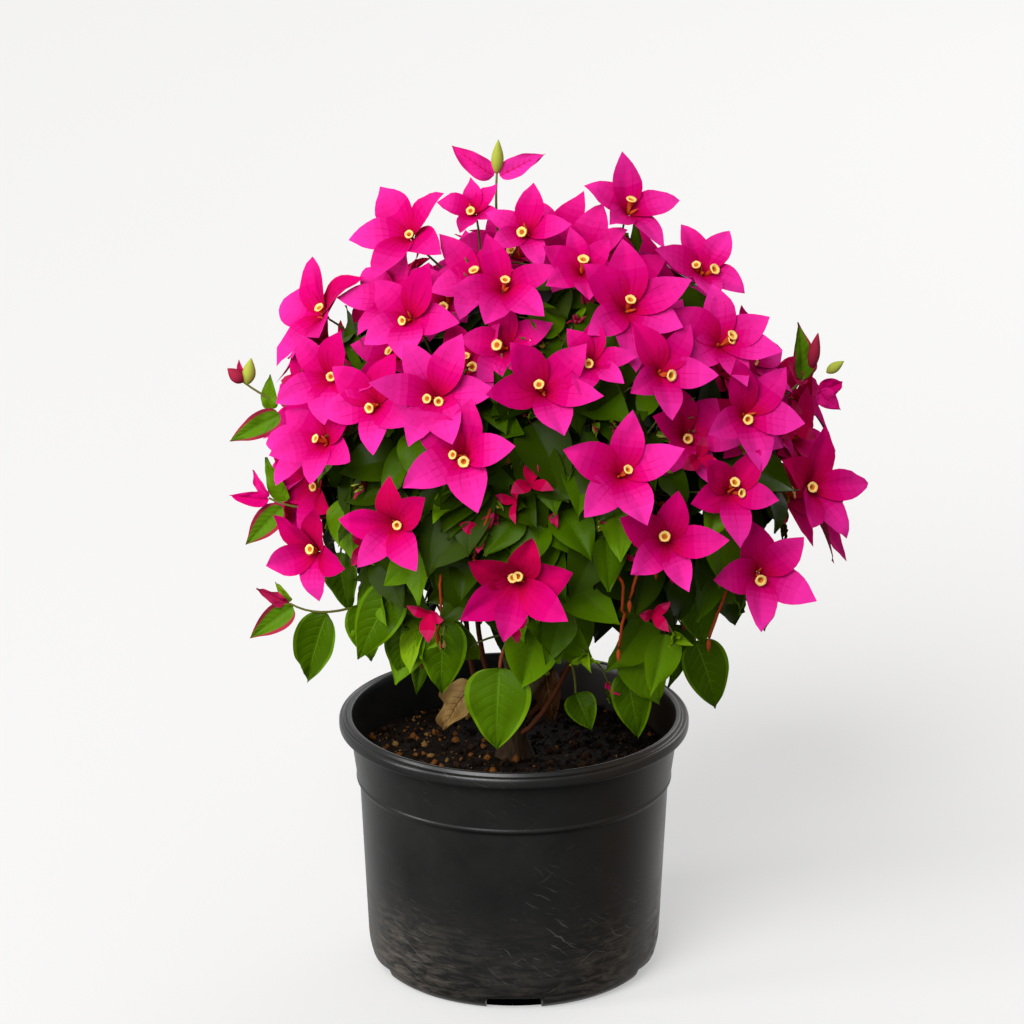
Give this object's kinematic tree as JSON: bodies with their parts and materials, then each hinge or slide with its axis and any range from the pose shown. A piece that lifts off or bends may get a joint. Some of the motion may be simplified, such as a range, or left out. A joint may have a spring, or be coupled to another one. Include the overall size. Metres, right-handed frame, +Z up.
{
  "type": "potted bougainvillea",
  "caption": "Round, dense bougainvillea bush with star-shaped magenta bracts over green leaves, in a black round nursery pot with a rolled rim.",
  "frame": {"origin": "middle of the pot's flat underside", "axes": "+Z up; -Y is the front, which the largest blooms face; +X to the right seen from the front"},
  "size_m": [0.3994, 0.3545, 0.574],
  "materials": {
    "pot_plastic": "satin black moulded plastic, dusty and scuffed towards its foot",
    "potting_soil": "dark moist bark compost with tan crumbs",
    "bark": "grey-brown woody stems",
    "foliage": "mid to dark green, slightly glossy leaves",
    "blossom": "papery magenta bracts with crimson throats, over green leaves"
  },
  "bodies": {
    "root": {"pot": "pot_plastic", "soil": "potting_soil", "trunk": "bark", "bough_top_left": "bark", "bough_top_front": "bark", "bough_top_right": "bark", "bough_top_back_right": "bark", "bough_top_back_left": "bark", "bough_left_shoulder": "bark", "bough_left_side": "bark", "bough_front_left_high": "bark", "bough_front_left": "bark", "bough_front_high": "bark", "bough_front_right_high": "bark", "bough_right_shoulder": "bark", "bough_front_low_left": "bark", "bough_front_low": "bark", "bough_front_low_right": "bark", "bough_right_low": "bark", "bough_right_high": "bark", "bough_right_side": "bark", "bough_back_right": "bark", "bough_back_high": "bark", "bough_back_low": "bark", "bough_left_back_high": "bark", "bough_left_back": "bark", "bough_back_left_low": "bark", "mass_top_left": "blossom", "mass_top_front": "blossom", "mass_top_right": "blossom", "mass_top_back_right": "blossom", "mass_top_back_left": "blossom", "mass_left_shoulder": "blossom", "mass_left_side": "blossom", "mass_front_left_high": "blossom", "mass_front_left": "blossom", "mass_front_high": "blossom", "mass_front_right_high": "blossom", "mass_right_shoulder": "blossom", "mass_front_low_left": "blossom", "mass_front_low": "blossom", "mass_front_low_right": "blossom", "mass_right_low": "blossom", "mass_right_high": "blossom", "mass_right_side": "blossom", "mass_back_right": "blossom", "mass_back_high": "blossom", "mass_back_low": "blossom", "mass_left_back_high": "blossom", "mass_left_back": "blossom", "mass_back_left_low": "blossom", "mass_skirt_front": "foliage", "mass_skirt_left": "foliage", "mass_skirt_right": "foliage", "mass_skirt_back_right": "foliage", "mass_skirt_back": "foliage", "mass_skirt_back_left": "foliage"}
  },
  "joints": []
}
